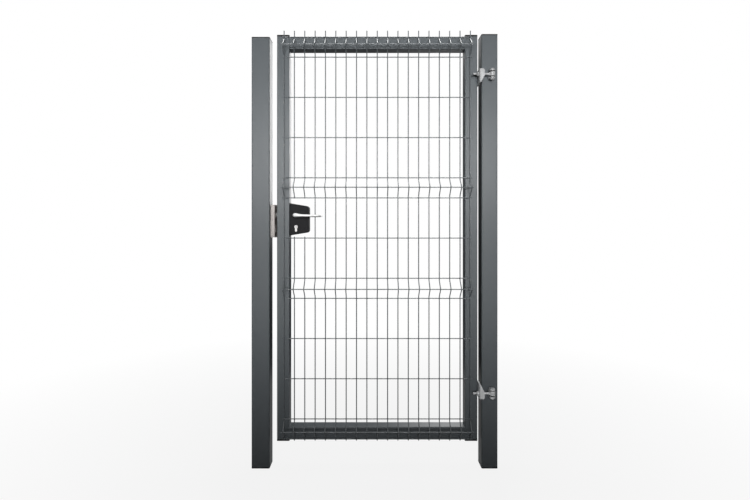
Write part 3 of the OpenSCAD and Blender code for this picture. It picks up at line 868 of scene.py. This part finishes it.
class GATE_OT_welds(bpy.types.Operator):
    """Runs the weld beads round the rails' ends and tacks the mesh to the stiles"""

    bl_idname = "gate.welds"
    bl_label = "Weld beads"

    def execute(self, context):
        s = context.scene.gate_frame
        r, ripple = s.bead, 0.0022
        made = Build()
        for rail in ("top_rail", "bottom_rail"):
            lo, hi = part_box(rail)
            centre = (lo + hi) / 2
            loop = rounded(hi.y - lo.y - 1.3 * r, hi.z - lo.z - 1.3 * r, s.stile_corner, 4)
            ring = []
            for a, b in zip(loop, loop[1:] + loop[:1]):
                steps = max(1, round((b - a).length / ripple))
                ring += [a.lerp(b, i / steps) for i in range(steps)]
            size = [r * (1.0 + 0.14 * sin(i * 2.1) + 0.06 * sin(i * 0.37)) for i in range(len(ring))]
            for x in (lo.x, hi.x):
                made.sweep([at(x, centre.y + p.x, centre.z + p.y) for p in ring], [(q, q) for q in size], 8,
                           closed=True)
        mesh = context.scene.gate_mesh
        wire = mesh.wire / 2
        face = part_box("top_rail")[0].y
        lo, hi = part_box("mesh_panel")
        inward, half_tack = 0.024, 0.007
        for z in [z for z, out in mesh_rows(mesh) if not out]:
            for x in (lo.x + inward, hi.x - inward):
                for side in (-1, 1):
                    made.blob((x, face - wire * 0.25, z + side * wire * 0.9),
                              (half_tack, wire * 0.75, wire * 0.75), 10, 6)
        made.piece("weld_beads", "leaf", "coated_steel", None, "Weld bead", crease=60.0)
        return DONE


class GATE_OT_forks(bpy.types.Operator):
    """Forges the forks that hold the hinge pins on the hinge post"""

    bl_idname = "gate.forks"
    bl_label = "Hinge forks"

    def execute(self, context):
        s = context.scene.gate_hinges
        corner, back_rim, lug_rim, fillet, bury, play = 0.002, 0.0008, 0.0009, 0.003, 0.001, 0.0002
        hole = arc((0.0, 0.0), s.bolt + play, 360, 0, 32)[:-1]
        curve = arc((fillet, fillet), fillet, 270, 180, 6)
        for level, node, lo, hi, middle in each_hinge("_post_bracket"):
            eye = (hi.x - lo.x) / 2
            pin_y = lo.y + eye
            made = Build()
            made.prism([rounded(2 * eye, hi.z - lo.z, corner)], s.back, back_rim,
                       aim(at(middle.x, hi.y, middle.z), -Y, -X))
            reach, half = hi.y - s.back * 0.4 - pin_y, eye - play / 2
            outline = arc((0.0, 0.0), half, 180, 360, 24) + [at(half, reach), at(-half, reach)]
            for z in (lo.z, hi.z - s.lug):
                made.prism([outline, hole], s.lug, lug_rim, aim(at(middle.x, pin_y, z), Z, X))
            for z, side in ((lo.z + s.lug, 1), (hi.z - s.lug, -1)):
                loop = [at(-bury, -bury), at(fillet, -bury), *curve, at(-bury, fillet)]
                loop = [at(p.x, p.y * side) for p in loop][::side]
                made.prism([loop], 2 * (eye - bury), 0.0,
                           aim(at(middle.x + eye - bury, hi.y - s.back, z), -X, -Y), steps=1)
            made.piece(level + "_fork", "posts", "zinc_plate", node, PLATING[level])
        return DONE


class GATE_OT_pins(bpy.types.Operator):
    """Turns the hinge pins, each a bolt with its head above the fork and a nut below"""

    bl_idname = "gate.pins"
    bl_label = "Hinge pins"

    def execute(self, context):
        s = context.scene.gate_hinges
        bury, end = 0.001, 0.004
        for level, node, _, hi, (x, y, _) in each_hinge("_hinge_pin"):
            fork_lo, fork_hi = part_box(level + "_post_bracket")
            head = hi.z - fork_hi.z
            foot, top = fork_lo.z + bury, fork_hi.z + bury
            made = Build()
            made.hexagon(s.flats, head, aim(at(x, y, fork_hi.z), Z, X))
            made.hexagon(s.flats, head, aim(at(x, y, fork_lo.z), -Z, X), s.bolt * NUT_BORE)
            made.lathe([(0, foot), (s.bolt, foot), (s.bolt, top), (0, top)], Matrix.Translation((x, y, 0)))
            made.thread(head + end, s.bolt, s.thread, aim(at(x, y, foot), -Z, X))
            made.piece(level + "_pin", "posts", "zinc_plate", node, PLATING[level])
        return DONE


class GATE_OT_washers(bpy.types.Operator):
    """Cuts the black washers above and below each eye"""

    bl_idname = "gate.washers"
    bl_label = "Hinge washers"

    def execute(self, context):
        s = context.scene.gate_hinges
        play, edge = 0.0001, 0.0006
        for level, node, lo, hi, (x, y, _) in each_hinge("_hinge_washers"):
            radius = (hi.x - lo.x) / 2
            made = Build()
            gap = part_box(level + "_eye_bolt")[0].z - lo.z - 2 * play
            for z in (lo.z + play, hi.z - gap - play):
                ring = [(radius - inset, height) for inset, height in rim(gap, edge)]
                bore = [(s.bolt + play + inset, height) for inset, height in rim(gap, edge * 0.5)]
                made.lathe(ring + bore[::-1], Matrix.Translation((x, y, z)), 40, closed=True)
            made.piece(level + "_washers", "posts", "black_plastic", node)
        return DONE


class GATE_OT_eye_bolts(bpy.types.Operator):
    """Forges the eye bolts: a rounded eye that narrows into a threaded rod"""

    bl_idname = "gate.eye_bolts"
    bl_label = "Eye bolts"

    def execute(self, context):
        s = context.scene.gate_hinges
        shank, smooth, eye_rim, bore_rim, play, bury = 0.044, s.bolt * 0.96, 0.0035, 0.0008, 0.0001, 0.001
        for level, node, lo, hi, middle in each_hinge("_eye_bolt"):
            eye = (hi.y - lo.y) / 2
            centre = at(hi.x - eye, middle.y, middle.z)
            high = hi.z - lo.z
            made = Build()
            ring = [(eye - inset, height) for inset, height in rim(high, eye_rim, 6)]
            bore = [(s.bolt + play + inset, height) for inset, height in rim(high, bore_rim)]
            made.lathe(ring + bore[::-1], Matrix.Translation((centre.x, centre.y, lo.z)), 48, closed=True)
            rod = aim(centre, -X, Y)
            root, wide = eye * 0.55, high * 0.43
            neck = [(s.bolt + (wide - s.bolt) * (1 - t) ** 1.4, root + (s.neck - root) * t)
                    for t in (i / 8 for i in range(9))]
            made.lathe([(0, root), *neck, (s.bolt, shank), (0, shank)], rod)
            end = centre.x - lo.x
            start = end - s.tip
            made.thread(start - shank + 2 * bury, s.bolt, s.thread, lift(rod, shank - bury))
            cap = [(smooth * cos(t), end - smooth * 0.5 * (1 - sin(t))) for t in quarter(5)[:-1]]
            made.lathe([(0, start), (smooth * 0.9, start), (smooth, start + 0.0006), *cap, (0, end)], rod)
            made.piece(level + "_eye", "leaf", "zinc_plate", node, PLATING[level])
        return DONE


class GATE_OT_eye_nuts(bpy.types.Operator):
    """Cuts the pairs of nuts that clamp the eye bolts to the leaf brackets"""

    bl_idname = "gate.eye_nuts"
    bl_label = "Eye bolt nuts"

    def execute(self, context):
        s = context.scene.gate_hinges
        for level, node, lo, hi, (_, y, z) in each_hinge("_eye_nuts"):
            thick = (hi.x - lo.x - s.sheet) / 2
            made = Build()
            for x in (lo.x, hi.x - thick):
                made.hexagon(s.flats, thick, aim(at(x, y, z), X, Z), s.bolt * NUT_BORE)
            made.piece(level + "_nuts", "leaf", "zinc_plate", node, PLATING[level])
        return DONE


class GATE_OT_leaf_brackets(bpy.types.Operator):
    """Folds the leaf brackets: a plate on the stile's side and a web that narrows along it"""

    bl_idname = "gate.leaf_brackets"
    bl_label = "Leaf brackets"

    def execute(self, context):
        s = context.scene.gate_hinges
        for level, node, lo, hi, _ in each_hinge("_leaf_bracket"):
            side = -1 if level == "upper" else 1
            rod_z = middle_of(level + "_eye_bolt").z
            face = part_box("hinge_stile")[0].y
            short, foot = (rod_z - lo.z, hi.z - rod_z)[::side]
            web, t, fold, edge, corner = hi.x - lo.x, s.sheet, 0.003, 0.0007, s.web_corner
            least = t + fold + 0.0005

            def section(height, inset=0.0):
                """Outline of the bent sheet at a height, seen from above."""
                slope = max(0.0, (height - s.web_shoulder) / (s.web_long - s.web_shoulder))
                wide = max(web + (t - web) * slope, least)
                past = max(0.0, (height - s.web_long) / (foot - s.web_long))
                front = lo.y + (face - lo.y) * past
                near = max(0.0, corner - (short + height), corner - (foot - height))
                cut = corner - sqrt(max(0.0, corner ** 2 - near ** 2))
                tip = lo.x + max(wide - (cut if height < 0 else 0.0), least)
                back = hi.y - cut
                turn = (lo.x + fold + t, front + fold + t)
                outline = [at(lo.x, back), at(lo.x, turn[1]), *arc(turn, fold + t, 180, 270, 6),
                           at(tip, front), at(tip, front + t), *arc(turn, fold, 270, 180, 6),
                           at(lo.x + t, back)]
                return [at(*p, rod_z + side * height) for p in shifted(outline, inset)]

            steps = [corner * k for k in (0.25, 0.5, 1.0)]
            heights = sorted({-short + edge, foot - edge, 0.0, s.web_shoulder, s.web_long,
                              *(k - short for k in steps), *(foot - k for k in steps)})
            rings = [section(-short, edge), *map(section, heights), section(foot, edge)]
            made = Build()
            made.skin(rings[::side])
            screw_y, head_wide, head_high, seat = face + 0.030, 0.010, 0.0052, 0.0012
            for height in (foot - 0.012, 0.010 - short):
                screw = aim(at(lo.x + t, screw_y, rod_z + side * height), X, Z)
                made.lathe(SCREW_WASHER, screw)
                made.hexagon(head_wide, head_high, lift(screw, seat))
            made.piece(level + "_bracket", "leaf", "zinc_plate", node, PLATING[level])
        return DONE


class GATE_OT_lock_covers(bpy.types.Operator):
    """Moulds the two lock covers with rounded rims and a shallow sunk panel"""

    bl_idname = "gate.lock_covers"
    bl_label = "Lock covers"

    def execute(self, context):
        s = context.scene.gate_lock
        for node, side in (("front_lock_cover", -1), ("back_lock_cover", 1)):
            lo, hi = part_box(node)
            wide, high, deep = hi.x - lo.x, hi.z - lo.z, hi.y - lo.y
            middle = middle_of(node).z
            corner = s.cover_corner
            slope = atan((high - s.cover_end) / 2 / wide)
            turn = degrees(slope)
            cx = wide - corner
            cz = high / 2 - cx * tan(slope) - corner / cos(slope)
            outline = [at(0.0, -high / 2), *arc((cx, -cz), corner, 270 + turn, 360, 10),
                       *arc((cx, cz), corner, 0, 90 - turn, 10), at(0.0, high / 2)]
            outline = [at(p.x, -side * p.y) for p in outline][::-side]
            place = aim(at(lo.x, 0.0, middle), Y * side, X)
            spindle = middle_of("handle_spindle")
            made = Build()
            made.shell(outline, [(0.0, 0.0), *roll(0.0, deep, s.cover_rim, 5), (s.panel, deep),
                                 (s.panel + 0.0006, deep - 0.0005)], place)
            made.lathe(BUSH, lift(place, deep - 0.001, spindle.x - lo.x, side * (middle - spindle.z)), 40)
            made.piece(node.replace("_lock", ""), "leaf", "black_plastic", node)
        return DONE


class GATE_OT_key_cylinder(bpy.types.Operator):
    """Makes the key cylinder with a plug at each end, whose keyway is painted shade: a thin black sheet on
    the plug's face
    """

    bl_idname = "gate.key_cylinder"
    bl_label = "Key cylinder"

    def execute(self, context):
        s = context.scene.gate_lock
        lo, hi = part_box("key_cylinder")
        r = (hi.x - lo.x) / 2
        centre = at((lo.x + hi.x) / 2, 0.0, hi.z - r)
        tail = 0.005
        drop = centre.z - lo.z - tail
        spread = degrees(asin(tail / r))
        outline = arc((0, 0), r, -90 + spread, 270 - spread, 36) + arc((0, -drop), tail, 180, 360, 12)
        lip, bury, rise = 0.0003, 0.001, 0.0006
        made = Build()
        for side in (-1, 1):
            place = aim(centre, Y * side, X)
            made.prism([[at(p.x, -side * p.y) for p in outline][::-side]], hi.y, rise, place)
            face = lift(place, hi.y)
            made.lathe([(s.plug + 2 * lip, -bury), (s.plug + 2 * lip, 0.0002), (s.plug + lip, 0.0005),
                        (s.plug, 0.0002), (s.plug, -bury)], face, 40, closed=True)
            made.lathe([(0, -bury), (s.plug - lip, -bury), (s.plug - lip, lip), (s.plug - 0.0007, rise),
                        (0, rise)], face, 40)
            # Painted shade: the keyway is a thin black plastic sheet laid on the plug's face, not a slot cut
            # into it
            made.prism([[at(*p) for p in KEYWAY_SHADE_SHEET]], 0.0004, 0.0, lift(face, lip), 1, 1)
        made.piece("cylinder", "leaf", "bright_aluminium", "key_cylinder", "Nickelled brass",
                   "Moulded plastic")
        return DONE


class GATE_OT_handles(bpy.types.Operator):
    """Casts the levers: a neck, a rounded shoulder and a tapered grip whose end turns back"""

    bl_idname = "gate.handles"
    bl_label = "Handles"

    def execute(self, context):
        s = context.scene.gate_lock
        x, _, z = middle_of("handle_spindle")
        drop, thin, turn, half = LEVER[-1][1], 0.0008, 0.014, 0.0095
        for node, side in (("front_handle", -1), ("back_handle", 1)):
            lo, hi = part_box(node)
            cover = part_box(node.replace("handle", "lock_cover"))
            base = cover[0].y if side < 0 else cover[1].y
            grip = lo.y + half if side < 0 else hi.y - half
            bend_x = hi.x - s.lever_short - turn - 0.005
            made = Build()
            long = abs(grip - base)
            made.lathe([*NECK_FOOT, (0.0078, long - 0.008), (0.0092, long), (0, long)],
                       aim(at(x, base, z), Y * side, X))
            path = [at(x + dx, grip, z + dz) for dx, dz, _, _ in LEVER]
            size = [(wide, high) for _, _, wide, high in LEVER]
            for i in range(1, 9):
                a, part = pi / 16 * i, i / 8
                path.append(at(bend_x + turn * sin(a), grip - side * turn * (1 - cos(a)),
                               z + drop + thin * part))
                size.append((0.0055 - thin * part, 0.0048 - 0.0003 * part))
            last = path[-1]
            for back, k in LEVER_TIP:
                path.append(last + at(0.0, -side * back, 0.0))
                size.append((0.0047 * k, 0.0045 * k))
            made.sweep(path, size, 24)
            made.piece(node.replace("handle", "lever"), "handle", "bright_aluminium", node, crease=60.0)
        return DONE


def bolt_height(s):
    """Height of the lock's bolt, below the key cylinder's plug."""
    lo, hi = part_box("key_cylinder")
    return hi.z - (hi.x - lo.x) / 2 - s.bolt_drop


class GATE_OT_face_plate(bpy.types.Operator):
    """Cuts the lock's face plate with its screws, and the latch that passes through it"""

    bl_idname = "gate.face_plate"
    bl_label = "Face plate and latch"

    def execute(self, context):
        lo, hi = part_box("lock_face_plate")
        latch_lo, latch_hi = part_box("latch")
        centre = (lo + hi) / 2
        thick = hi.x - lo.x
        place = aim(at(hi.x, centre.y, centre.z), -X, -Y)
        gap, corner, blunt, latch_rim = 0.0003, 0.0008, 0.0004, 0.0005
        bolt_wide, bolt_high, end_corner, screw_set, screw_hole = 0.0120, 0.0320, 0.0115, 0.012, 0.0040
        latch_z = middle_of("latch").z - centre.z
        bolt_z = bolt_height(context.scene.gate_lock) - centre.z
        size = latch_hi - latch_lo
        latch = rounded(size.y + 2 * gap, size.z + 2 * gap, corner, 3, (0.0, latch_z))
        bolt = rounded(bolt_wide + 2 * gap, bolt_high + 2 * gap, corner, 3, (0.0, bolt_z))
        screws = [sign * ((hi.z - lo.z) / 2 - screw_set) for sign in (-1, 1)]
        holes = [arc((0.0, z), screw_hole, 360, 0, 24)[:-1] for z in screws]
        made = Build()
        made.prism([rounded(hi.y - lo.y, hi.z - lo.z, end_corner, 12), latch[::-1], bolt[::-1], *holes],
                   thick, blunt, place, steps=2)
        for z in screws:
            made.lathe(SCREW_HEAD, lift(place, thick - blunt, 0.0, z), 24, finish=1)
        made.prism([rounded(bolt_wide, bolt_high, corner, 3, (0.0, bolt_z))], thick - 2 * gap, blunt,
                   place, 1, 2)
        made.piece("face_plate", "leaf", "stainless_steel", "lock_face_plate", "Brushed stainless",
                   "Zinc plating")

        made = Build()
        outline = [at(blunt, 0.0), at(size.x, 0.0), at(size.x, size.y), at(lo.x - latch_lo.x, size.y),
                   at(0.0, size.y / 2), at(0.0, blunt)]
        made.prism([outline], size.z, latch_rim, Matrix.Translation(latch_lo), steps=2)
        made.piece("latch_bolt", "latch", "zinc_plate", "latch")
        return DONE


class GATE_OT_keep(bpy.types.Operator):
    """Folds the slotted keep that takes the latch and stops the leaf"""

    bl_idname = "gate.keep"
    bl_label = "Keep"

    def execute(self, context):
        s = context.scene.gate_lock
        lo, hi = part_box("keep")
        latch_lo, latch_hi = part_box("latch")
        t, r = s.sheet, s.fold
        face = lo.x + s.keep_wide
        near, front, back = face - r - t, lo.y + r + t, hi.y - r - t
        outer = [at(lo.x, lo.y), *arc((near, front), r + t, 270, 360, 6),
                 *arc((face + r, back), r, 180, 90, 6), at(hi.x, hi.y - t), at(hi.x, hi.y), at(lo.x, hi.y),
                 at(lo.x, hi.y - t), *arc((near, back), r, 90, 0, 6), *arc((near, front), r, 0, -90, 6),
                 at(lo.x, lo.y + t)]
        made = Build()
        made.prism([outer], hi.z - lo.z, 0.0005, Matrix.Translation((0, 0, lo.z)), steps=2)
        keep = made.piece("keep_plate", "posts", "stainless_steel", "keep")

        middle, size = (latch_lo + latch_hi) / 2, latch_hi - latch_lo
        for z, high in ((middle.z, size.z + 2 * s.slot_play), (bolt_height(s), s.bolt_slot)):
            cutter = Build()
            cutter.prism([rounded(size.y + 2 * s.slot_play, high, 0.002, 4)], 0.02, 0.0,
                         aim(at(face - 0.01, middle.y, z), X, Y), steps=1)
            self.cut(keep, cutter.mesh_data("slot"))
        return DONE

    def cut(self, piece, tool):
        """Cuts a tool's shape out of a piece for good."""
        helper = show("slot", tool)
        shading = piece.modifiers["Even shading"]
        shading.show_viewport = False
        cut = piece.modifiers.new("Slot", "BOOLEAN")
        cut.operation = "DIFFERENCE"
        cut.object = helper
        graph = bpy.context.evaluated_depsgraph_get()
        data = bpy.data.meshes.new_from_object(piece.evaluated_get(graph))
        piece.modifiers.remove(cut)
        piece.data = data
        data.set_sharp_from_angle(angle=radians(35))
        shading.show_viewport = True
        bpy.data.objects.remove(helper)


OPERATORS = (
    GATE_OT_stage, GATE_OT_finishes, GATE_OT_caps, GATE_OT_mesh_panel, GATE_OT_welds, GATE_OT_forks,
    GATE_OT_pins, GATE_OT_washers, GATE_OT_eye_bolts, GATE_OT_eye_nuts, GATE_OT_leaf_brackets,
    GATE_OT_lock_covers, GATE_OT_key_cylinder, GATE_OT_handles, GATE_OT_face_plate, GATE_OT_keep)
GROUPS = {"gate_finishes": GateFinishes, "gate_frame": GateFrame, "gate_mesh": GateMesh,
    "gate_hinges": GateHinges, "gate_lock": GateLock, "gate_stage": GateStage}


class GATE_PT_pieces(bpy.types.Panel):
    """Lists the gate's sizes, its colours and the steps that build it"""

    bl_idname = "GATE_PT_pieces"
    bl_label = "Pedestrian gate"
    bl_space_type = "VIEW_3D"
    bl_region_type = "UI"
    bl_category = "Gate"

    def draw(self, context):
        for name, group in GROUPS.items():
            box = self.layout.box()
            box.label(text=name.replace("gate_", "").capitalize())
            for row in group.__annotations__:
                box.prop(getattr(context.scene, name), row)
        for operator in OPERATORS:
            self.layout.operator(operator.bl_idname)


def register():
    for made in (*GROUPS.values(), *OPERATORS, GATE_PT_pieces):
        bpy.utils.register_class(made)
    for name, group in GROUPS.items():
        setattr(bpy.types.Scene, name, bpy.props.PointerProperty(type=group))


def unregister():
    for name in GROUPS:
        delattr(bpy.types.Scene, name)
    for made in (GATE_PT_pieces, *OPERATORS[::-1], *list(GROUPS.values())[::-1]):
        bpy.utils.unregister_class(made)


def main():
    register()
    for operator in OPERATORS:
        group, name = operator.bl_idname.split(".")
        getattr(getattr(bpy.ops, group), name)()


if __name__ == "__main__":
    main()
